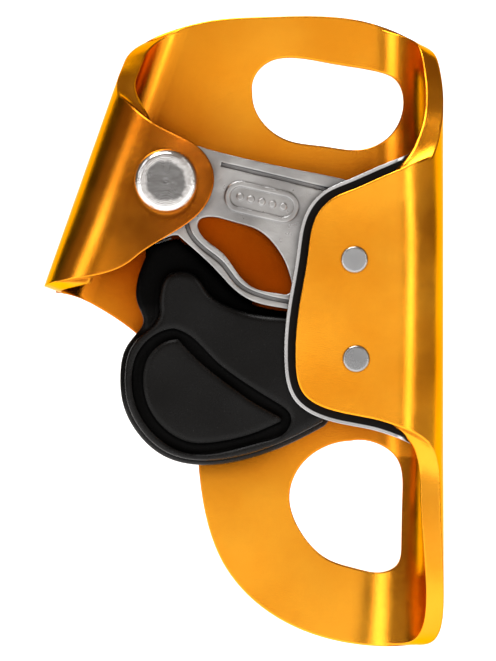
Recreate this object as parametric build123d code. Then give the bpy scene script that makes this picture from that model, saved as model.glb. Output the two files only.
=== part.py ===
from build123d import *
import math
import os

# Chest ascender. Millimetres. X right, Y away from the front, Z up.
# The origin is in the lower eye, half way between the outer faces of the two flaps.

# --- driving dimensions -------------------------------------------------
SHEET = 3.2            # frame sheet thickness
DEPTH = 23.0           # outer face of a flap to outer face of the back plate
BACK = DEPTH / 2       # outer face of the back plate
FRONT = -DEPTH / 2     # outer face of both flaps
BACK_IN = BACK - SHEET
FRONT_IN = FRONT + SHEET

WALL_X = 17.6          # outer face of the rope channel wall
R_FRONT = 10.0         # outer radius, channel wall to right flap
R_REAR = 13.0          # outer radius, channel wall to back plate
R_TAIL = 19.0          # outer radius of the same bend at the bottom of the tail
R_FLANGE = 60.0        # the front bend fades to this outer radius down the tail
TAIL_DEEP = 8.0        # the tail's flange stock reaches this far to the front
TAIL_TOP = 9.0         # height at which the tail bend starts to open out
BEND_X = 5.0           # the channel's bends are all to the right of this
LEFT_BEND = 9.2        # the left bends end this far in from the left silhouette
EDGE_Y = 8.25          # the side views rule between plus and minus this
TOP = 95.0             # any height above the frame
BOTTOM = -30.0         # any height below the frame

LEFT_TILT = 19.5       # left bend line, degrees from vertical
LEFT_FOOT = (-54.9, 0, 40.2)   # lower end of the left bend silhouette
R_LEFT = 8.8           # outer radius, left wall to left flap
R_LEFT_REAR = 9.0     # outer radius, left wall to back plate

LINER = 0.6            # black layer between frame and steel insert
STEEL = 1.1            # channel insert
LINER_LIP = 1.4        # liner shows this far past the right flap
STEEL_LIP = 2.0        # insert shows this far past the right flap
BACK_LEG = 1.0         # insert and liner reach back to this X on the plate side

AXLE = (-32.7, 59.1)   # cam axle, X and Z
AXLE_R = 4.0
AXLE_HEAD_R = 5.7
AXLE_HEAD_H = 1.5
BUSH_R = 5.5
WASHER_R = 5.6
WASHER_H = 0.8
HUB_R = 6.8
RUN_FIT = 0.05         # radial play of a running fit

RIVETS = ((1.3, 44.9), (1.6, 27.0))   # right flap rivets, X and Z
RIVET_R = 1.6
RIVET_HEAD_R = 2.45
RIVET_HEAD_H = 0.6

CAM_FRONT = -6.0
CAM_REAR = 5.0
CAM_BAR_REAR = -0.6    # the bar under the window is thinner than the cam
FACE_R_TOP = 38.6      # toothed face radius about the axle, top
FACE_R_LOW = 42.0      # and bottom
FACE_TOP = -3.0        # toothed face, degrees below the axle, top
FACE_LOW = -33.0       # and bottom

LEVER_FRONT = -6.1
LEVER_LOW = -3.2       # front of the level behind the left flap
LEVER_REAR = 7.0
DISH = 1.3             # depth of the thumb pad groove
CATCH_PIN = (-34.8, 49.8)
CATCH_PIN_R = 0.9
LUG_R = 2.2
LUG_FRONT = 1.9
LUG_REAR = 4.9

CAM_WIRE = 0.8         # cam spring wire
CAM_COIL = 7.95        # and mean coil radius
CATCH_WIRE = 0.5
CATCH_COIL = 1.9


# --- helpers --------------------------------------------------------------
def face_xz(edges, y):
    """Face in a plane of constant Y from a closed run of (X, Z) edges."""
    wire = Wire(edges)
    return Plane(origin=(0, y, 0), x_dir=(1, 0, 0), z_dir=(0, -1, 0)) * Face(wire)


def slab(edges, y_low, y_high):
    """Solid between two Y values with the given (X, Z) outline."""
    return extrude(face_xz(edges, y_high), amount=y_high - y_low, dir=(0, -1, 0))


def disc(centre, radius, y_low, y_high):
    """Round pin along Y at an (X, Z) centre."""
    height = y_high - y_low
    place = Location((centre[0], (y_low + y_high) / 2, centre[1]), (90, 0, 0))
    return place * Cylinder(radius, height)


def box(x0, x1, y0, y1, z0, z1):
    """Axis-aligned box from its limits."""
    centre = ((x0 + x1) / 2, (y0 + y1) / 2, (z0 + z1) / 2)
    return Location(centre) * Box(x1 - x0, y1 - y0, z1 - z0)


def smooth(*points):
    """Open smooth curve through (X, Z) points."""
    return Spline(*points)


def grown(points, amount):
    """Points moved sideways, to the right of the way they run."""
    moved = []
    for index, (x, z) in enumerate(points):
        x0, z0 = points[max(index - 1, 0)]
        x1, z1 = points[min(index + 1, len(points) - 1)]
        length = math.hypot(x1 - x0, z1 - z0)
        moved.append((x + amount * (z1 - z0) / length, z - amount * (x1 - x0) / length))
    return moved


# --- frame ----------------------------------------------------------------
def channel_section(inset, thickness, r_rear, left, back_left, z):
    """Thick section of the rope channel at height z, inset from the frame's outer face."""
    x_out, y_back, y_front = WALL_X - inset, BACK - inset, FRONT + inset
    r_back, r_fore = r_rear - inset, R_FRONT - inset
    x_in, y_bi, y_fi = x_out - thickness, y_back - thickness, y_front + thickness
    r_bi, r_fi = r_back - thickness, r_fore - thickness
    c_back = (x_out - r_back, y_back - r_back)
    c_fore = (x_out - r_fore, y_front + r_fore)
    with BuildLine(Plane.XY.offset(z)) as line:
        Line((back_left, y_back), (c_back[0], y_back))
        CenterArc(c_back, r_back, 90, -90)
        if c_back[1] - c_fore[1] > 1e-6:
            Line((x_out, c_back[1]), (x_out, c_fore[1]))
        CenterArc(c_fore, r_fore, 0, -90)
        Line((c_fore[0], y_front), (left, y_front))
        Line((left, y_front), (left, y_fi))
        Line((left, y_fi), (c_fore[0], y_fi))
        CenterArc(c_fore, r_fi, -90, 90)
        if c_back[1] - c_fore[1] > 1e-6:
            Line((x_in, c_fore[1]), (x_in, c_back[1]))
        CenterArc(c_back, r_bi, 0, 90)
        Line((c_back[0], y_bi), (back_left, y_bi))
        Line((back_left, y_bi), (back_left, y_back))
    return Face(line.wire())


def tail_section(r_rear, r_fore, z):
    """Section of the tail at height z: plate, rear bend and the fading front bend."""
    rear = (WALL_X - r_rear, BACK - r_rear)
    fore = (WALL_X - r_fore, rear[1])
    turn = math.degrees(math.asin((rear[1] + TAIL_DEEP) / r_fore))
    tip_out = (fore[0] + r_fore * math.cos(math.radians(turn)), -TAIL_DEEP)
    r_in = r_fore - SHEET
    tip_in = (
        fore[0] + r_in * math.cos(math.radians(turn)),
        fore[1] - r_in * math.sin(math.radians(turn)),
    )
    with BuildLine(Plane.XY.offset(z)) as line:
        Line((-30, BACK), (rear[0], BACK))
        CenterArc(rear, r_rear, 90, -90)
        CenterArc(fore, r_fore, 0, -turn)
        Line(tip_out, tip_in)
        CenterArc(fore, r_in, -turn, turn)
        CenterArc(rear, r_rear - SHEET, 0, 90)
        Line((rear[0], BACK_IN), (-30, BACK_IN))
        Line((-30, BACK_IN), (-30, BACK))
    return Face(line.wire())


def left_section():
    """Thick section square to the tilted left bend line."""
    rear, fore = R_LEFT_REAR, R_LEFT
    rear_y, fore_y = BACK - rear, FRONT + fore
    with BuildLine() as line:
        Line((30, BACK), (rear, BACK))
        CenterArc((rear, rear_y), rear, 90, 90)
        Line((0, rear_y), (0, fore_y))
        CenterArc((fore, fore_y), fore, 180, 90)
        Line((fore, FRONT), (30, FRONT))
        Line((30, FRONT), (30, FRONT_IN))
        Line((30, FRONT_IN), (fore, FRONT_IN))
        CenterArc((fore, fore_y), fore - SHEET, 270, -90)
        Line((SHEET, fore_y), (SHEET, rear_y))
        CenterArc((rear, rear_y), rear - SHEET, 180, -90)
        Line((rear, BACK_IN), (30, BACK_IN))
        Line((30, BACK_IN), (30, BACK))
    return left_plane(), Face(line.wire())


def left_plane():
    """Plane square to the left bend line, its Z up the line and its X to the right."""
    tilt = math.radians(LEFT_TILT)
    return Plane(
        origin=LEFT_FOOT,
        x_dir=(math.cos(tilt), 0, -math.sin(tilt)),
        z_dir=(math.sin(tilt), 0, math.cos(tilt)),
    )


def plate_outline():
    """Back plate seen from the front, left open past both bends."""
    return [
        smooth((-37.1, 84.5), (-35.4, 85.5), (-31.1, 87.2), (-25.3, 88.7), (-17.5, 89.4),
               (-10.2, 89.6)),
        smooth((-10.2, 89.6), (-3.0, 89.5), (2.0, 88.9), (8.9, 86.8), (13.5, 84.4)),
        Line((13.5, 84.4), (13.5, TOP)),
        Line((13.5, TOP), (25, TOP)),
        Line((25, TOP), (25, BOTTOM)),
        Line((25, BOTTOM), (13.0, BOTTOM)),
        Line((13.0, BOTTOM), (13.0, -25.2)),
        smooth((13.0, -25.2), (6.4, -25.6), (-2.4, -24.5), (-13.7, -19.7), (-22.2, -10.9),
               (-26.0, 0.0), (-27.2, 12.0)),
        smooth((-27.2, 12.0), (-30.0, 21.0), (-38.4, 31.6), (-45.1, 36.2), (-48.4, 37.9),
               (-52.9, 39.0)),
        Line((-52.9, 39.0), (-70, 40)),
        Line((-70, 40), (-70, TOP)),
        Line((-70, TOP), (-37.1, TOP)),
        Line((-37.1, TOP), (-37.1, 84.5)),
    ]


def upper_eye(y_low, y_high):
    """Upper attachment eye, a skewed rounded slot."""
    rim = [(-17.1, 75.6), (-16.3, 79.2), (-13.7, 81.4), (-10.0, 82.0), (-2.0, 80.8), (6.0, 79.4),
           (9.0, 78.0), (10.4, 75.0), (9.9, 70.7), (7.9, 67.6), (2.9, 65.2), (-4.0, 65.8),
           (-10.6, 66.9), (-14.3, 69.2), (-16.6, 72.6)]
    return slab([Spline(*rim, rim[0])], y_low, y_high)


def lower_eye(y_low, y_high):
    """Lower attachment eye, D shaped, for the harness link."""
    rim = [(0.9, 11.9), (6.0, 11.3), (9.3, 8.7), (10.3, 2.0), (10.1, -6.9), (9.3, -10.7),
           (6.6, -12.1), (2.0, -11.5), (-3.2, -9.8), (-8.2, -4.8), (-10.3, 2.0), (-8.0, 7.7),
           (-3.4, 11.0)]
    return slab([Spline(*rim, rim[0])], y_low, y_high)


def right_flap_outline(lip=0.0):
    """Right flap seen from the front, grown by a lip, closed to the right past the bend."""
    edge = [(15.0, 63.6), (11.0, 61.8), (7.1, 60.2), (0.7, 57.4), (-3.0, 55.7), (-5.6, 52.6),
            (-7.1, 45.5), (-8.7, 36.0), (-9.3, 27.0), (-7.8, 20.6), (-3.0, 17.8),
            (6.1, 15.8), (9.1, 14.8), (12.7, 13.2), (15.0, 11.3)]
    edge = grown(edge, lip)
    top, low = edge[0], edge[-1]
    return [
        smooth(*edge),
        Line(low, (low[0], BOTTOM)),
        Line((low[0], BOTTOM), (25, BOTTOM)),
        Line((25, BOTTOM), (25, TOP)),
        Line((25, TOP), (top[0], TOP)),
        Line((top[0], TOP), top),
    ]


def left_flap_outline():
    """Left flap seen from the front, closed to the left past the bend."""
    return [
        smooth((-40.8, 74.6), (-39.0, 72.8), (-35.7, 70.1), (-30.9, 67.5), (-26.6, 65.0),
               (-24.1, 60.6), (-25.1, 55.4), (-30.4, 50.4), (-38.5, 45.1)),
        smooth((-38.5, 45.1), (-42.6, 42.8), (-46.3, 41.9), (-49.6, 41.4), (-52.7, 40.7)),
        Line((-52.7, 40.7), (-70, 36)),
        Line((-70, 36), (-70, TOP)),
        Line((-70, TOP), (-40.8, TOP)),
        Line((-40.8, TOP), (-40.8, 74.6)),
    ]


def cut_rows(rows, away):
    """Side view points of a cut edge that climbs as it crosses the bend."""
    return [(y, z + climb * away) for y, z, climb in rows]


def bend_tool(top_rows, low_rows, away, floor, ceiling):
    """Side view of what is kept of a bent wall, left open on the plate and flap sides."""
    top, low = cut_rows(top_rows, away), cut_rows(low_rows, away)
    return [
        smooth(*top),
        Line(top[-1], (EDGE_Y, ceiling)),
        Line((EDGE_Y, ceiling), (14, ceiling)),
        Line((14, ceiling), (14, floor)),
        Line((14, floor), (low[0][0], floor)),
        Line((low[0][0], floor), low[0]),
        smooth(*low),
        Line(low[-1], (-EDGE_Y, floor)),
        Line((-EDGE_Y, floor), (-15, floor)),
        Line((-15, floor), (-15, ceiling)),
        Line((-15, ceiling), (-EDGE_Y, ceiling)),
        Line((-EDGE_Y, ceiling), top[0]),
    ]


def side_cut():
    """What is kept of the channel wall and its bends, both ends of the wall shaped."""
    top = [(-EDGE_Y, 64.8, 0.46), (-7.7, 64.2, 0.1), (-6.6, 65.5, -0.1), (-4.3, 69.4, -0.2),
           (-2.65, 72.3, -0.45), (-0.3, 76.2, -0.65), (1.9, 79.2, -0.8), (4.8, 81.4, -0.6),
           (EDGE_Y, 82.9, -0.38)]
    low = [(6.0, -25.3, 0), (-1.5, -22.6, 0), (-5.2, -16.5, 0), (-6.0, -9.0, 0),
           (-6.0, 2.0, -0.2), (-6.15, 7.0, -0.5), (-7.3, 9.2, -0.45), (-EDGE_Y, 9.8, -0.55)]
    faces = []
    for x in (BEND_X, 20.0):
        side = Plane(origin=(x, 0, 0), x_dir=(0, 1, 0), z_dir=(1, 0, 0))
        edges = bend_tool(top, low, x - WALL_X, BOTTOM, TOP)
        faces.append(side * Face(Wire(edges)))
    return loft(faces, ruled=True)


def left_side_cut():
    """What is kept of the left wall and its bends, both ends of the wall shaped."""
    top = [(-EDGE_Y, 37.7, -0.34), (-7.5, 37.5, -0.05), (-4.3, 39.35, 0.2), (0.0, 42.2, 0.4),
           (2.5, 43.6, 0.55), (5.5, 45.3, 0.75), (EDGE_Y, 46.1, 0.86)]
    low = [(EDGE_Y, -0.3, 0.06), (0.0, -0.15, 0), (-4.0, 0.1, 0.05), (-7.0, 0.7, 0.15),
           (-EDGE_Y, 0.9, 0.3)]
    faces = []
    for p in (-1.0, LEFT_BEND):
        faces.append(left_side_plane(p) * Face(Wire(bend_tool(top, low, p, -20, 80))))
    return loft(faces, ruled=True)


def left_side_plane(p):
    """Side view plane, p in from the left silhouette, its Y up the bend line."""
    tilt = math.radians(LEFT_TILT)
    across = (math.cos(tilt), 0, -math.sin(tilt))
    origin = (LEFT_FOOT[0] + p * across[0], 0, LEFT_FOOT[2] + p * across[2])
    return Plane(origin=origin, x_dir=(0, 1, 0), z_dir=across)


def shaped(strip, plate, flap):
    """A bent strip with the plate's outline cut behind and the flap's in front."""
    rear = strip & box(-90, 40, EDGE_Y, 20, BOTTOM, TOP) & slab(plate, EDGE_Y, 20)
    wall = strip & box(-90, 40, -EDGE_Y, EDGE_Y, BOTTOM, TOP)
    fore = strip & box(-90, 40, -20, -EDGE_Y, BOTTOM, TOP) & slab(flap, -20, -EDGE_Y)
    return rear + wall + fore


def make_right_side():
    """Channel wall with the right flap, the plate beside it and the tail."""
    section = channel_section(0, SHEET, R_REAR, -30, -30, TAIL_TOP)
    upper = extrude(section, amount=TOP - TAIL_TOP, dir=(0, 0, 1))
    upper = shaped(upper, plate_outline(), right_flap_outline())
    tail_top = tail_section(R_REAR, R_FRONT, TAIL_TOP)
    tail = loft([tail_top, tail_section(R_TAIL, R_FLANGE, BOTTOM)], ruled=True)
    whole = upper + (tail & slab(plate_outline(), -12, BACK + 1))
    outer = whole & box(BEND_X, 25, -20, 20, BOTTOM, TOP) & side_cut()
    return (whole & box(-18, BEND_X, -20, 20, BOTTOM, TOP)) + outer


def make_left_side():
    """Left wall with the left flap and the edge of the plate beside it."""
    plane, section = left_section()
    strip = extrude(plane * section, amount=70, dir=plane.z_dir)
    strip += extrude(plane * section, amount=15, dir=-plane.z_dir)
    whole = shaped(strip, plate_outline(), left_flap_outline())
    whole = whole & box(-70, 20, -20, 20, 0, TOP)
    inner = left_block(LEFT_BEND)
    return (whole & inner) + ((whole - inner) & left_side_cut())


def left_block(p):
    """Everything more than p in from the left silhouette, as a big block."""
    return left_plane() * (Location((p + 60, 0, 20)) * Box(120, 60, 240))


def make_frame():
    """The whole bent frame: plate, two flaps, channel and tail."""
    plate = slab(plate_outline(), BACK_IN, BACK) & left_block(LEFT_BEND)
    plate = plate & box(-70, WALL_X - R_TAIL, -20, 20, BOTTOM, TOP)
    frame = make_right_side() + make_left_side() + plate
    frame -= upper_eye(4.0, BACK + 1)
    frame -= lower_eye(2.0, BACK + 1)
    frame -= disc(AXLE, AXLE_R, -20, 20)
    for rivet in RIVETS:
        frame -= disc(rivet, RIVET_R, -20, 0)
    return frame


# --- channel lining -------------------------------------------------------
def make_lining(inset, thickness, lip):
    """A bent strip lining the channel from flap to plate."""
    z0, z1 = 2.0, 74.0
    section = channel_section(inset, thickness, R_REAR, -20, BACK_LEG, z0)
    strip = extrude(section, amount=z1 - z0, dir=(0, 0, 1))
    front = strip & box(-30, 25, -20, -1.5, z0, z1)
    front = front & slab(right_flap_outline(lip), -20, 0)
    rear = strip & box(-30, 25, -1.5, 20, 8.5, 66.0)
    side = [
        Line((-12, TOP), (-8.0, TOP)),
        Line((-8.0, TOP), (-8.0, 64.0 + lip)),
        Line((-8.0, 64.0 + lip), (-6.0, 65.5 + lip)),
        smooth((-6.0, 65.5 + lip), (-2.0, 64.0), (9.0, 58.0)),
        Line((9.0, 58.0), (9.0, 18.0)),
        smooth((9.0, 18.0), (0.0, 12.0), (-4.6, 9.6 - lip)),
        Line((-4.6, 9.6 - lip), (-8.0, 11.8 - lip)),
        Line((-8.0, 11.8 - lip), (-8.0, BOTTOM)),
        Line((-8.0, BOTTOM), (-12, BOTTOM)),
        Line((-12, BOTTOM), (-12, TOP)),
    ]
    view = Plane(origin=(-20, 0, 0), x_dir=(0, 1, 0), z_dir=(1, 0, 0))
    lining = (front + rear) & extrude(view * Face(Wire(side)), amount=50, dir=(1, 0, 0))
    for rivet in RIVETS:
        lining -= disc(rivet, RIVET_R, -20, 0)
    return lining


# --- fasteners ------------------------------------------------------------
def make_insert_rivets():
    """Two low round-head rivets through flap, liner and insert."""
    inner = FRONT_IN + LINER + STEEL
    solids = []
    for centre in RIVETS:
        head = disc(centre, RIVET_HEAD_R, FRONT - RIVET_HEAD_H, FRONT)
        head = fillet(head.edges().group_by(Axis.Y)[0], RIVET_HEAD_H - 0.1)
        solids.append(head + disc(centre, RIVET_R, FRONT - 0.1, inner - 0.2))
    return Compound(children=solids)


def make_axle():
    """Cam axle: turned head, shank, rear end closed flush in the plate."""
    head = disc(AXLE, AXLE_HEAD_R, FRONT - AXLE_HEAD_H, FRONT)
    head = fillet(head.edges().group_by(Axis.Y)[0], AXLE_HEAD_H - 0.15)
    dimple = disc(AXLE, 0.5, FRONT - AXLE_HEAD_H - 1, FRONT - AXLE_HEAD_H + 0.4)
    return disc(AXLE, AXLE_R, FRONT, BACK) + head - dimple


def make_bush():
    """Plain bush that the cam turns on."""
    length = BACK_IN - WASHER_H
    return disc(AXLE, BUSH_R, -length, length) - disc(AXLE, AXLE_R + RUN_FIT, -20, 20)


def make_washer(y_low):
    """Thin washer between the hub and a plate."""
    ring = disc(AXLE, WASHER_R, y_low, y_low + WASHER_H)
    return ring - disc(AXLE, AXLE_R + RUN_FIT, -20, 20)


def coil(centre, y_low, radius, wire, turns, leg, angle):
    """Close-wound torsion spring round a Y axis with one straight leg."""
    pitch = wire * 1.15
    helix = Helix(pitch, pitch * turns, radius)
    start = helix @ 0
    section = Plane(origin=start, z_dir=helix % 0) * Circle(wire / 2)
    body = sweep(section, path=helix, is_frenet=True)
    end = helix @ 1
    tail = Plane(origin=end, z_dir=helix % 1) * Circle(wire / 2)
    body += extrude(tail, amount=leg)
    spot = Location((centre[0], y_low + pitch * turns + wire / 2, centre[1]), (90, 0, 0))
    return spot * (Location((0, 0, 0), (0, 0, angle)) * body)


# --- cam --------------------------------------------------------------------
def face_point(share, grow=0.0):
    """Point of the toothed face, share 0 at the top to 1 at the bottom."""
    angle = math.radians(FACE_TOP + (FACE_LOW - FACE_TOP) * share)
    radius = FACE_R_TOP + (FACE_R_LOW - FACE_R_TOP) * share + grow
    return (AXLE[0] + radius * math.cos(angle), AXLE[1] + radius * math.sin(angle))


def cam_outline():
    """Cam seen from the front: hub at the left, toothed face at the right."""
    low = face_point(1)
    top = face_point(0)
    return [
        smooth((-25.1, 64.9), (-16.6, 62.8), (-8.0, 61.0), (0.0, 59.3), top),
        smooth(top, face_point(0.33), face_point(0.67), low),
        smooth(low, (-2.0, 34.9), (-10.5, 36.0), (-17.4, 37.6), (-19.7, 39.0), (-21.9, 41.1),
               (-23.9, 43.3), (-27.4, 46.6), (-30.6, 49.4)),
        smooth((-30.6, 49.4), (-33.0, 48.8), (-35.2, 48.0), (-37.4, 49.0), (-38.6, 51.6)),
        smooth((-38.6, 51.6), (-40.2, 57.0), (-39.2, 62.0), (-35.0, 65.4), (-30.0, 66.0),
               (-25.1, 64.9)),
    ]


def window_outline(y):
    """See-through window in the cam."""
    rim = [(-27.1, 51.0), (-26.5, 52.3), (-25.2, 52.7), (-20.5, 51.8), (-16.2, 50.4),
           (-12.8, 47.3), (-11.0, 44.2), (-10.0, 41.0), (-9.9, 39.6), (-10.6, 38.7),
           (-12.0, 38.7), (-16.8, 39.8), (-19.5, 42.1), (-22.5, 46.1), (-26.2, 49.2)]
    return slab([Spline(*rim, rim[0])], -y, y)


def cam_groove(line, width, depth):
    """Narrow groove along a line on the front of the cam."""
    upper, lower = grown(line, -width / 2), grown(line, width / 2)
    edges = [
        smooth(*upper),
        Line(upper[-1], lower[-1]),
        smooth(*reversed(lower)),
        Line(lower[0], upper[0]),
    ]
    return slab(edges, CAM_FRONT - 1, CAM_FRONT + depth)


def make_tooth(share, y):
    """One small spike on the toothed face, leaning down the rope."""
    x, z = face_point(share, -0.4)
    angle = FACE_TOP + (FACE_LOW - FACE_TOP) * share
    cone = Location((0, 0, 1.0)) * Cone(0.95, 0.25, 2.0)
    return Location((x, y, z), (0, 90 - angle + 22, 0)) * cone


def make_pill():
    """Raised pill on the front of the cam, a rim round a row of plain dots."""
    tilt = math.radians(13)
    place = Plane(
        origin=(-15.4, CAM_FRONT + 0.1, 55.4),
        x_dir=(math.cos(tilt), 0, -math.sin(tilt)),
        z_dir=(0, -1, 0),
    )
    pill = extrude(place * SlotOverall(13.6, 5.6), amount=0.55, dir=(0, -1, 0))
    field = extrude(place * SlotOverall(11.8, 3.8), amount=0.55, dir=(0, -1, 0))
    pill -= Location((0, -0.25, 0)) * field
    for step in range(-2, 3):
        pill += extrude(place * (Location((step * 2.0, 0, 0)) * Circle(0.6)), amount=0.5,
                        dir=(0, -1, 0))
    return pill


def make_cam():
    """Cast cam with window, pill, two grooves, pin bore and teeth."""
    cam = slab(cam_outline(), CAM_FRONT, CAM_REAR)
    hub_half = BACK_IN - WASHER_H - 0.2
    cam += disc(AXLE, HUB_R, -hub_half, hub_half)
    cam -= window_outline(20)
    lug_room = box(-60, -16.0, CAM_BAR_REAR, 20, 30, 48.4)
    lug_room += disc(CATCH_PIN, 5.4, CAM_BAR_REAR, 20)
    keep = disc(AXLE, HUB_R + 0.01, -20, 20)
    cam -= lug_room - keep
    cam -= cam_groove([(-22.8, 62.2), (-13.5, 60.0), (-4.4, 57.8), (2.0, 56.2)], 0.8, 0.7)
    bar = [(-29.0, 51.5), (-28.2, 49.4), (-25.4, 46.5), (-22.5, 44.1), (-21.2, 42.4),
           (-19.4, 40.3), (-17.2, 39.0), (-10.7, 37.3), (-7.0, 36.6)]
    cam -= cam_groove(bar, 0.8, 0.8)
    cam += make_pill()
    cam -= disc(AXLE, BUSH_R + RUN_FIT, -20, 20)
    cam -= disc(CATCH_PIN, CATCH_PIN_R, -4.0, 20)
    for row in range(8):
        for column in range(3):
            y = -3.2 + column * 2.7
            cam += make_tooth(0.06 + row * 0.125, y)
    return cam


# --- catch lever --------------------------------------------------------------
def lever_outline(inset=0.0):
    """Left and lower edge of the lever, or a line inside it, from the neck to the tail."""
    edge = [(-36.2, 46.2), (-37.6, 42.6), (-38.2, 39.9), (-37.9, 36.8), (-36.9, 33.6),
            (-38.2, 31.5), (-40.2, 28.7), (-41.1, 24.0), (-40.5, 18.4), (-37.9, 13.4),
            (-33.0, 9.2), (-27.0, 7.7), (-20.0, 8.3), (-12.0, 10.8), (-4.0, 14.8)]
    return grown(edge, -inset)


def lever_low():
    """Outline of the lower level, which runs up behind the left flap."""
    edge = lever_outline()
    return [
        smooth(*edge),
        smooth(edge[-1], (-2.2, 18.0), (-2.2, 26.0), (-3.2, 32.0), (-5.0, 34.7)),
        smooth((-5.0, 34.7), (-10.5, 35.5), (-17.6, 37.1), (-20.1, 38.55), (-22.3, 40.75),
               (-24.3, 42.9), (-27.8, 46.2), (-30.9, 48.8)),
        smooth((-30.9, 48.8), (-33.2, 48.1), (-35.2, 47.3), edge[0]),
    ]


def lever_high():
    """Outline of the raised front of the lever."""
    edge = lever_outline(0.9)[4:]
    edge[0] = (-34.6, 33.6)
    return [
        smooth((-33.9, 36.0), *edge),
        smooth(edge[-1], (-3.3, 20.0), (-3.3, 28.0), (-6.0, 34.0)),
        smooth((-6.0, 34.0), (-10.7, 34.5), (-18.5, 35.5), (-22.5, 37.0), (-24.9, 38.8),
               (-26.9, 41.6), (-29.6, 42.8), (-32.4, 42.2), (-33.8, 39.2), (-33.9, 36.0)),
    ]


def pad_outline(inset=0.0):
    """Edge of the groove round the thumb pad, or a line inside it."""
    edge = [(-31.3, 32.5), (-35.2, 31.1), (-38.0, 27.9), (-39.0, 23.0), (-37.8, 17.4),
            (-34.4, 12.8), (-29.1, 9.9), (-23.0, 9.9), (-15.5, 11.8), (-10.9, 13.9),
            (-10.1, 16.4), (-13.1, 19.3), (-18.5, 22.7), (-24.1, 27.0), (-28.4, 31.2)]
    edge = grown(edge, -inset)
    return [Spline(*edge, edge[0])]


def lever_shelf():
    """Shelf of the lever that runs up behind the lower bar of the cam."""
    edges = [
        Line((-31.2, 46.5), (-30.4, 49.0)),
        smooth((-30.4, 49.0), (-29.7, 48.0), (-28.4, 47.4), (-26.5, 46.8), (-22.8, 44.1),
               (-20.7, 41.9), (-18.7, 40.1), (-17.2, 39.2)),
        Line((-17.2, 39.2), (-17.2, 35.5)),
        Line((-17.2, 35.5), (-28.6, 41.0)),
        Line((-28.6, 41.0), (-31.2, 46.5)),
    ]
    return slab(edges, -0.1, LUG_REAR)


def make_lever():
    """Catch lever: low body, raised front with a groove round the pad, neck and lug."""
    low = slab(lever_low(), LEVER_LOW, LEVER_REAR)
    low = fillet(low.faces().sort_by(Axis.Y)[0].edges(), 0.7)
    high = slab(lever_high(), LEVER_FRONT, LEVER_LOW + 2)
    high = fillet(high.faces().sort_by(Axis.Y)[0].edges(), 0.9)
    body = low + high
    body -= box(-60, -20, -0.5, LUG_FRONT, 45.9, 60)
    body += lever_shelf()
    body -= box(-60, -20, LUG_REAR, 12, 43.0, 60)
    groove = slab(pad_outline(), LEVER_FRONT - 1, LEVER_FRONT + DISH)
    groove -= slab(pad_outline(2.1), LEVER_FRONT - 2, LEVER_FRONT + DISH + 1)
    body -= groove
    body -= slab(pad_outline(2.0), LEVER_FRONT - 1, LEVER_FRONT + 0.3)
    neck = [
        Line((-36.8, 50.0), (-36.4, 44.0)),
        Line((-36.4, 44.0), (-31.6, 44.0)),
        Line((-31.6, 44.0), (-32.8, 49.0)),
        Line((-32.8, 49.0), (-36.8, 50.0)),
    ]
    body += slab(neck, LUG_FRONT, LUG_REAR)
    body += disc(CATCH_PIN, LUG_R, LUG_FRONT, LUG_REAR)
    return body - disc(CATCH_PIN, CATCH_PIN_R + RUN_FIT, -12, 12)


def make_catch_pin():
    """Pin fixed in the cam, carrying the lever."""
    return disc(CATCH_PIN, CATCH_PIN_R, -4.0, LUG_REAR + 0.3)


def make_cam_spring():
    """Torsion spring round the hub."""
    return coil(AXLE, CAM_REAR + 0.25, CAM_COIL, CAM_WIRE, 1.5, 6.0, 150)


def make_catch_spring():
    """Small torsion spring round the catch pin."""
    return coil(CATCH_PIN, CAM_BAR_REAR + 0.1, CATCH_COIL, CATCH_WIRE, 3.25, 2.5, 200)


def main():
    """Write one STEP file for each node."""
    os.makedirs("parts", exist_ok=True)
    nodes = {
        "frame": make_frame(),
        "channel_insert": make_lining(SHEET + LINER + 0.02, STEEL, STEEL_LIP),
        "channel_liner": make_lining(SHEET, LINER, LINER_LIP),
        "insert_rivets": make_insert_rivets(),
        "cam_axle": make_axle(),
        "axle_bush": make_bush(),
        "front_washer": make_washer(FRONT_IN),
        "rear_washer": make_washer(BACK_IN - WASHER_H),
        "cam": make_cam(),
        "cam_spring": make_cam_spring(),
        "catch_lever": make_lever(),
        "catch_pin": make_catch_pin(),
        "catch_spring": make_catch_spring(),
    }
    for name, shape in nodes.items():
        export_step(shape, f"parts/{name}.step")


main()
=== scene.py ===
import math

import bpy
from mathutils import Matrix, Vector

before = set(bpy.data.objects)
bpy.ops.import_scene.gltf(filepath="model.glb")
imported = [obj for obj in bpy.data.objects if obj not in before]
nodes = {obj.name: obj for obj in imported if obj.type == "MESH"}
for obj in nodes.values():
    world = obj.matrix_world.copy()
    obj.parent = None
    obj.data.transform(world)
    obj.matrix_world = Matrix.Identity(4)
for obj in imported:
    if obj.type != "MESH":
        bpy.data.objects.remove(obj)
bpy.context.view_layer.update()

# Places on the object and lengths are in metres.
AIM = Vector((-0.0179, 0, 0.0321))    # middle of the object
AXLE_X, AXLE_Z = -0.0327, 0.0591
AXLE_DISC_R = 0.0037                  # flat turned disc on the axle head, painted darker than the rim round it

# Colour sockets of a Mix node.
MIX_A, MIX_B, MIX_OUT = 6, 7, 2

GOLD_DEEP = (0.82, 0.30, 0.014)
GOLD_PALE = (0.88, 0.37, 0.024)
GOLD_GAP_SHADE = (0.34, 0.14, 0.05)         # painted shade: multiplies the gold in gaps and corners
GOLD_FLAP_SHADE = (0.72, 0.50, 0.60)        # painted shade: multiplies the gold on the left flap, darker and redder
GOLD_GRAZING = (1.0, 0.70, 0.25, 1)   # tint at grazing angles
GOLD_GAP_REACH = 0.024
FLAP_LEAN = (0.03, 0.0, 0.38)         # added to the normal on the left flap

# painted shade: tint that multiplies the steel in gaps and corners
STEEL_GAP_SHADE = (0.20, 0.20, 0.21)
# painted shade: tint that multiplies the nylon in gaps and corners
NYLON_GAP_SHADE = (0.1, 0.1, 0.1)
NYLON_SHADED = 0.10                   # painted shade: share of the gloss left in grooves and on the upper step
RING_RATE = 21000                     # radians per metre, rings 0.3 mm apart


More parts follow.
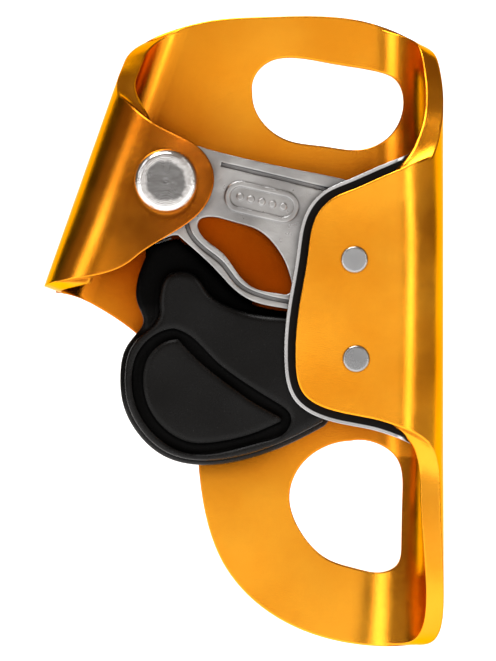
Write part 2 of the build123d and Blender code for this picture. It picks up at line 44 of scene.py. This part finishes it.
# --- shader graph -----------------------------------------------------------
class Graph:
    """Material with a Principled shader, and short ways to add nodes to it."""

    def __init__(self, name):
        self.mat = bpy.data.materials.new(name)
        self.mat.use_nodes = True
        self.tree = self.mat.node_tree
        self.tree.nodes.clear()
        self.out = self.add("ShaderNodeOutputMaterial")
        self.bsdf = self.add("ShaderNodeBsdfPrincipled")
        self.link(self.bsdf, "BSDF", self.out, "Surface")
        self.coord = self.add("ShaderNodeTexCoord")

    def add(self, kind):
        return self.tree.nodes.new(kind)

    def link(self, a, out, b, into):
        self.tree.links.new(a.outputs[out], b.inputs[into])

    def set(self, socket, value):
        """Set a number or colour on the shader's own socket."""
        self.bsdf.inputs[socket].default_value = value

    def position(self):
        """Object coordinates as separate X, Y and Z."""
        node = self.add("ShaderNodeSeparateXYZ")
        self.link(self.coord, "Object", node, "Vector")
        return node

    def noise(self, scale, detail=3.0, rough=0.5):
        node = self.add("ShaderNodeTexNoise")
        node.inputs["Scale"].default_value = scale
        node.inputs["Detail"].default_value = detail
        node.inputs["Roughness"].default_value = rough
        self.link(self.coord, "Object", node, "Vector")
        return node

    def math(self, operation, a, a_out, b, b_out):
        node = self.add("ShaderNodeMath")
        node.operation = operation
        self.link(a, a_out, node, 0)
        self.link(b, b_out, node, 1)
        return node

    def ramp(self, source, out, low, high, low_value, high_value):
        """Number that goes from low_value to high_value as the source goes from low to high."""
        node = self.add("ShaderNodeMapRange")
        node.inputs["From Min"].default_value = low
        node.inputs["From Max"].default_value = high
        node.inputs["To Min"].default_value = low_value
        node.inputs["To Max"].default_value = high_value
        self.link(source, out, node, "Value")
        return node

    def colour(self, source, out, low, high, dark, light):
        """Colour that goes from dark to light as the source goes from low to high."""
        node = self.add("ShaderNodeValToRGB")
        node.color_ramp.elements[0].position = low
        node.color_ramp.elements[1].position = high
        node.color_ramp.elements[0].color = (*dark, 1)
        node.color_ramp.elements[1].color = (*light, 1)
        self.link(source, out, node, "Fac")
        return node

    def multiplied(self, source, out, tint, share, share_out):
        """Colour multiplied by a tint, by a share from 0 to 1."""
        node = self.add("ShaderNodeMix")
        node.data_type = "RGBA"
        node.blend_type = "MULTIPLY"
        self.link(share, share_out, node, "Factor")
        self.link(source, out, node, MIX_A)
        node.inputs[MIX_B].default_value = (*tint, 1)
        return node

    def openness(self, reach):
        """1 in the open, falling towards 0 in gaps and corners."""
        node = self.add("ShaderNodeAmbientOcclusion")
        node.samples = 8
        node.inputs["Distance"].default_value = reach
        return node

    def soft_edges(self, radius, samples=6):
        """Normal that rounds the edges over a radius."""
        node = self.add("ShaderNodeBevel")
        node.samples = samples
        node.inputs["Radius"].default_value = radius
        return node

    def bump(self, source, out, strength, distance, under, under_out="Normal"):
        """Bump laid over another normal."""
        node = self.add("ShaderNodeBump")
        node.inputs["Strength"].default_value = strength
        node.inputs["Distance"].default_value = distance
        self.link(source, out, node, "Height")
        self.link(under, under_out, node, "Normal")
        return node

    def polish(self, scale, smooth, rough):
        """Roughness that wanders between two values."""
        smear = self.noise(scale, 4, 0.6)
        level = self.ramp(smear, "Fac", 0.3, 0.7, smooth, rough)
        self.link(level, "Result", self.bsdf, "Roughness")

    def shade_gaps(self, tint, out, reach, dark):
        """Base colour darkened in narrow gaps and inside corners, as painted shade."""
        share = self.ramp(self.openness(reach), "AO", 0.25, 0.85, 1.0, 0.0)
        shaded = self.multiplied(tint, out, dark, share, "Result")
        self.link(shaded, MIX_OUT, self.bsdf, "Base Color")


# --- finishes -----------------------------------------------------------------
def metal(name, dark, light, rough, spread, grain, depth):
    """Metal with drifting colour, uneven polish and a fine grain."""
    g = Graph(name)
    tint = g.colour(g.noise(90, 2), "Fac", 0.35, 0.65, dark, light)
    g.link(tint, "Color", g.bsdf, "Base Color")
    g.set("Metallic", 1.0)
    g.polish(220, rough - spread, rough + spread)
    bump = g.bump(g.noise(grain, 4, 0.6), "Fac", 0.35, depth, g.soft_edges(0.0002))
    g.link(bump, "Normal", g.bsdf, "Normal")
    return g.mat


def plain_steel():
    """Polished strip and small hidden steel pieces."""
    dark, light = (0.42, 0.43, 0.44), (0.55, 0.56, 0.57)
    return metal("plain_steel", dark, light, 0.24, 0.06, 6000, 0.000012)


def rivet_steel():
    """Small rivets, darker and grainier than the strip."""
    dark, light = (0.24, 0.25, 0.26), (0.40, 0.41, 0.42)
    return metal("rivet_steel", dark, light, 0.28, 0.08, 2400, 0.00005)


def bronze():
    """Plain bush."""
    dark, light = (0.42, 0.27, 0.11), (0.55, 0.36, 0.15)
    return metal("bronze", dark, light, 0.3, 0.05, 6000, 0.00001)


def on_left_flap(g):
    """Share from 0 to 1 that picks out the flat of the left flap, where the gold gets painted
    shade and a leaned normal.
    """
    place = g.position()
    left = g.ramp(place, "X", -0.046, -0.030, 0.35, 1.0)
    near = g.ramp(place, "X", -0.024, -0.018, 1.0, 0.0)
    front = g.ramp(place, "Y", -0.0090, -0.0075, 1.0, 0.0)
    across = g.math("MULTIPLY", left, "Result", near, "Result")
    return g.math("MULTIPLY", across, 0, front, "Result")


def leaned(g, flap):
    """Normal that leans up on the left flap, which stands slightly open."""
    lean = g.add("ShaderNodeVectorMath")
    lean.operation = "SCALE"
    lean.inputs[0].default_value = FLAP_LEAN
    g.link(flap, 0, lean, "Scale")
    total = g.add("ShaderNodeVectorMath")
    total.operation = "ADD"
    g.link(g.soft_edges(0.00055, 8), "Normal", total, 0)
    g.link(lean, 0, total, 1)
    unit = g.add("ShaderNodeVectorMath")
    unit.operation = "NORMALIZE"
    g.link(total, 0, unit, 0)
    return unit


def anodised():
    """Polished orange-gold anodised sheet, slightly uneven and finely grained, with painted
    shade in its gaps and corners and on the left flap.
    """
    g = Graph("anodised_gold")
    tint = g.colour(g.noise(60, 3), "Fac", 0.35, 0.65, GOLD_DEEP, GOLD_PALE)
    flap = on_left_flap(g)
    # painted shade: the left flap's gold is darkened and reddened
    flap_shaded = g.multiplied(tint, "Color", GOLD_FLAP_SHADE, flap, 0)
    # painted shade: the gold is darkened in gaps and corners
    g.shade_gaps(flap_shaded, MIX_OUT, GOLD_GAP_REACH, GOLD_GAP_SHADE)
    g.set("Metallic", 1.0)
    g.set("Specular Tint", GOLD_GRAZING)
    g.polish(180, 0.18, 0.27)
    waves = g.bump(g.noise(26, 1, 0.4), "Fac", 1.0, 0.0030, leaned(g, flap), "Vector")
    grain = g.bump(g.noise(5200, 3, 0.6), "Fac", 0.6, 0.00003, waves)
    g.link(grain, "Normal", g.bsdf, "Normal")
    return g.mat


def cast_steel():
    """Investment cast stainless, satin, with a fine sandy grain and painted shade in its narrow
    gaps.
    """
    g = Graph("cast_steel")
    dark, light = (0.27, 0.27, 0.27), (0.43, 0.43, 0.425)
    tint = g.colour(g.noise(140, 3), "Fac", 0.3, 0.7, dark, light)
    # painted shade: the steel is darkened in gaps and corners
    g.shade_gaps(tint, "Color", 0.003, STEEL_GAP_SHADE)
    g.set("Metallic", 1.0)
    g.polish(600, 0.26, 0.40)
    waves = g.bump(g.noise(110, 2, 0.5), "Fac", 0.8, 0.0008, g.soft_edges(0.00045, 8))
    grain = g.bump(g.noise(3600, 3, 0.6), "Fac", 0.8, 0.00006, waves)
    g.link(grain, "Normal", g.bsdf, "Normal")
    return g.mat


def from_centre(g, centre_x, centre_z):
    """Distance from a line along Y."""
    place = g.position()
    flat = g.add("ShaderNodeCombineXYZ")
    g.link(place, "X", flat, "X")
    g.link(place, "Z", flat, "Z")
    away = g.add("ShaderNodeVectorMath")
    away.operation = "DISTANCE"
    g.link(flat, "Vector", away, 0)
    away.inputs[1].default_value = (centre_x, 0, centre_z)
    return away


def rings(g, away):
    """Fine turned rings as a height from -1 to 1."""
    turn = g.add("ShaderNodeMath")
    turn.operation = "MULTIPLY"
    g.link(away, "Value", turn, 0)
    turn.inputs[1].default_value = RING_RATE
    height = g.add("ShaderNodeMath")
    height.operation = "SINE"
    g.link(turn, 0, height, 0)
    return height


def turned_steel(name, centre_x, centre_z, disc_radius):
    """Steel rivet head, a turned disc in darker grey inside a rim painted lighter, a painted
    highlight on its rounding.
    """
    g = Graph(name)
    away = from_centre(g, centre_x, centre_z)
    wobble = g.ramp(g.noise(420, 3, 0.6), "Fac", 0.3, 0.7, -0.0004, 0.0004)
    edge = g.math("ADD", away, "Value", wobble, "Result")
    # painted highlight: base colour goes from dark grey on the disc to light grey on the rim
    share = g.ramp(edge, 0, disc_radius * 0.92, disc_radius * 1.06, 0.0, 1.0)
    tint = g.colour(share, "Result", 0.0, 1.0, (0.20, 0.20, 0.20), (0.60, 0.60, 0.60))
    g.link(tint, "Color", g.bsdf, "Base Color")
    g.set("Metallic", 1.0)
    g.polish(500, 0.16, 0.30)
    turned = g.bump(rings(g, away), 0, 0.45, 0.000014, g.soft_edges(0.0003))
    worn = g.bump(g.noise(700, 3, 0.6), "Fac", 0.7, 0.00014, turned)
    g.link(worn, "Normal", g.bsdf, "Normal")
    return g.mat


def lit_part(g):
    """1 on the lever's front and lower rim, low in its grooves and on its upper step, where
    painted shade cuts the gloss.
    """
    place = g.position()
    front = g.ramp(place, "Y", -0.0054, -0.0047, 1.0, NYLON_SHADED)
    behind = g.ramp(place, "Y", -0.0040, -0.0034, 0.0, 1.0)
    below = g.ramp(place, "Z", 0.031, 0.037, 1.0, NYLON_SHADED)
    rim = g.math("MULTIPLY", behind, "Result", below, "Result")
    return g.math("MAXIMUM", front, "Result", rim, 0)


def nylon(name, tone, rough, gloss, rounding, reach):
    """Moulded black nylon, satin, with painted shade that makes it deeper black in its grooves
    and on its upper step.
    """
    g = Graph(name)
    dark, light = (tone * 0.8,) * 3, (tone * 1.25,) * 3
    tint = g.colour(g.noise(160, 3), "Fac", 0.3, 0.7, dark, light)
    # painted shade: the nylon is darkened in gaps and corners
    g.shade_gaps(tint, "Color", reach, NYLON_GAP_SHADE)
    # painted shade: the gloss falls in gaps and corners and is cut where lit_part is low
    level = g.ramp(g.openness(reach), "AO", 0.35, 0.68, 0.02, gloss)
    shown = g.math("MULTIPLY", level, "Result", lit_part(g), 0)
    g.set("Specular IOR Level", gloss)
    g.link(shown, 0, g.bsdf, "Specular IOR Level")
    g.polish(420, rough - 0.04, rough + 0.05)
    waves = g.bump(g.noise(60, 1, 0.4), "Fac", 1.0, 0.0016, g.soft_edges(rounding, 12))
    grain = g.bump(g.noise(3800, 3, 0.6), "Fac", 0.4, 0.00003, waves)
    g.link(grain, "Normal", g.bsdf, "Normal")
    return g.mat


STEEL = plain_steel()
FINISH = {
    "frame": anodised(),
    "channel_insert": STEEL,
    "channel_liner": nylon("liner_black", 0.002, 0.5, 0.10, 0.0001, 0.002),
    "insert_rivets": rivet_steel(),
    "cam_axle": turned_steel("turned_steel", AXLE_X, AXLE_Z, AXLE_DISC_R),
    "axle_bush": bronze(),
    "front_washer": STEEL,
    "rear_washer": STEEL,
    "cam": cast_steel(),
    "cam_spring": STEEL,
    "catch_lever": nylon("nylon_black", 0.0018, 0.26, 0.145, 0.0017, 0.0045),
    "catch_pin": STEEL,
    "catch_spring": STEEL,
}


def dress(name, material):
    """Give a CAD node its finish."""
    node = nodes[name]
    node.data.materials.clear()
    node.data.materials.append(material)
    for face in node.data.polygons:
        face.use_smooth = True


for name, material in FINISH.items():
    dress(name, material)


# --- stage --------------------------------------------------------------------
def plain_sheet(name, tone, glow):
    """Matt sheet material that can also give off light."""
    g = Graph(name)
    tint = g.colour(g.noise(3, 2), "Fac", 0.3, 0.7, (tone,) * 3, (tone * 1.03,) * 3)
    g.link(tint, "Color", g.bsdf, "Base Color")
    g.set("Roughness", 0.9)
    g.set("Specular IOR Level", 0.1)
    g.link(tint, "Color", g.bsdf, "Emission Color")
    g.set("Emission Strength", glow)
    return g.mat


def sweep():
    """Pale floor that curves up into a wall, both reaching past the cameras."""
    half, near, far, floor, height, bend = 4.0, -2.6, 2.3, -0.22, 4.0, 0.9
    steps = 12
    rows = [(near, floor)]
    for step in range(steps + 1):
        angle = math.pi / 2 * step / steps
        y = far - bend + bend * math.sin(angle)
        rows.append((y, floor + bend - bend * math.cos(angle)))
    rows.append((far, height))
    verts, faces = [], []
    for y, z in rows:
        verts += [(-half, y, z), (half, y, z)]
    for row in range(len(rows) - 1):
        a = 2 * row
        faces.append((a, a + 1, a + 3, a + 2))
    mesh = bpy.data.meshes.new("sweep")
    mesh.from_pydata(verts, [], faces)
    obj = bpy.data.objects.new("sweep", mesh)
    bpy.context.scene.collection.objects.link(obj)
    for face in mesh.polygons:
        face.use_smooth = True
    mesh.materials.append(plain_sheet("pale_sweep", 0.92, 0.96))


def put(obj, place):
    """Add an object at a place, turned to face the middle of the ascender."""
    obj.location = place
    obj.rotation_mode = "QUATERNION"
    obj.rotation_quaternion = (AIM - place).to_track_quat("-Z", "Y")
    bpy.context.scene.collection.objects.link(obj)


def around(angle, height, away):
    """Place round the object, the angle in degrees to the right of straight ahead."""
    turn = math.radians(angle)
    return AIM + Vector((away * math.sin(turn), -away * math.cos(turn), height))


def softbox(name, place, width, height, radiance):
    """Area light turned to the object, its strength given as radiance."""
    light = bpy.data.lights.new(name, "AREA")
    light.shape = "RECTANGLE"
    light.size, light.size_y = width, height
    light.energy = radiance * math.pi * width * height
    put(bpy.data.objects.new(name, light), place)


def flag(name, place, width, height):
    """Dark card that darkens one direction in the reflections."""
    w, h = width / 2, height / 2
    mesh = bpy.data.meshes.new(name)
    corners = [(-w, -h, 0), (w, -h, 0), (w, h, 0), (-w, h, 0)]
    mesh.from_pydata(corners, [], [(0, 1, 2, 3)])
    mesh.materials.append(plain_sheet(name, 0.03, 0.0))
    obj = bpy.data.objects.new(name, mesh)
    put(obj, place)


sweep()
softbox("front_fill", around(4, 0.12, 1.9), 1.5, 0.95, 0.77)
softbox("left_strip", around(-46, 0.1, 1.0), 0.34, 1.3, 2.9)
softbox("right_strip", around(42, 0.1, 1.0), 0.22, 1.3, 3.4)
softbox("top", AIM + Vector((-0.2, -0.35, 0.85)), 0.5, 0.4, 11.0)
softbox("low_right", AIM + Vector((0.45, -0.6, -0.35)), 0.2, 0.2, 7.0)
flag("left_flag", around(-112, 0.1, 0.9), 0.5, 1.2)

world = bpy.data.worlds.new("studio")
world.use_nodes = True
backdrop = world.node_tree.nodes["Background"]
backdrop.inputs["Color"].default_value = (1.0, 0.72, 0.52, 1)
backdrop.inputs["Strength"].default_value = 0.22
bpy.context.scene.world = world
bpy.context.scene.view_settings.view_transform = "Standard"


# --- camera -------------------------------------------------------------------
CAMERA_AWAY = 1.4
VIEW_SPAN = 0.1202     # height that the picture covers at the object
SENSOR = 36            # millimetres

camera_data = bpy.data.cameras.new("camera")
camera_data.sensor_width = SENSOR
camera_data.lens = SENSOR * CAMERA_AWAY / VIEW_SPAN
camera_data.clip_start = 0.05
camera = bpy.data.objects.new("camera", camera_data)
camera.location = (AIM[0], -CAMERA_AWAY, AIM[2])
camera.rotation_euler = (math.pi / 2, 0, 0)
bpy.context.scene.collection.objects.link(camera)
bpy.context.scene.camera = camera
